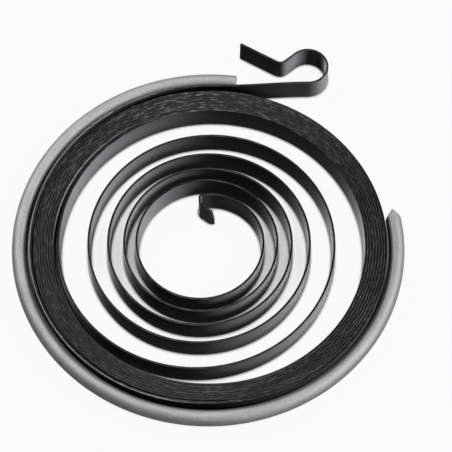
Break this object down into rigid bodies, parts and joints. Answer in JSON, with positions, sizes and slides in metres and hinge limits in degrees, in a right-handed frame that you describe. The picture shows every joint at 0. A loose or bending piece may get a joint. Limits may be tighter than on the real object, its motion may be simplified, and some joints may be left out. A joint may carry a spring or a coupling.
{
  "type": "recoil starter spring",
  "caption": "Flat blued steel strip wound on edge into a spiral, with a formed hook outside and a bent hook at the eye, kept wound by an open wire ring; it rewinds a starter's rope.",
  "frame": {"origin": "on the axis of the packed turns, in the plane that the strip's lower edge stands on", "axes": "+Z along the coil's axis, up from the lower edge of the strip; +Y from the axis towards the side that has the outer hook; +X to the right, so that the strip winds inwards counter-clockwise seen from above"},
  "size_m": [0.0741, 0.0805, 0.005],
  "materials": {
    "blued_steel": "blued and oiled, satin",
    "plain_wire": "drawn, satin"
  },
  "bodies": {
    "root": {"spring_strip": "blued_steel", "retaining_ring": "plain_wire"}
  },
  "joints": []
}
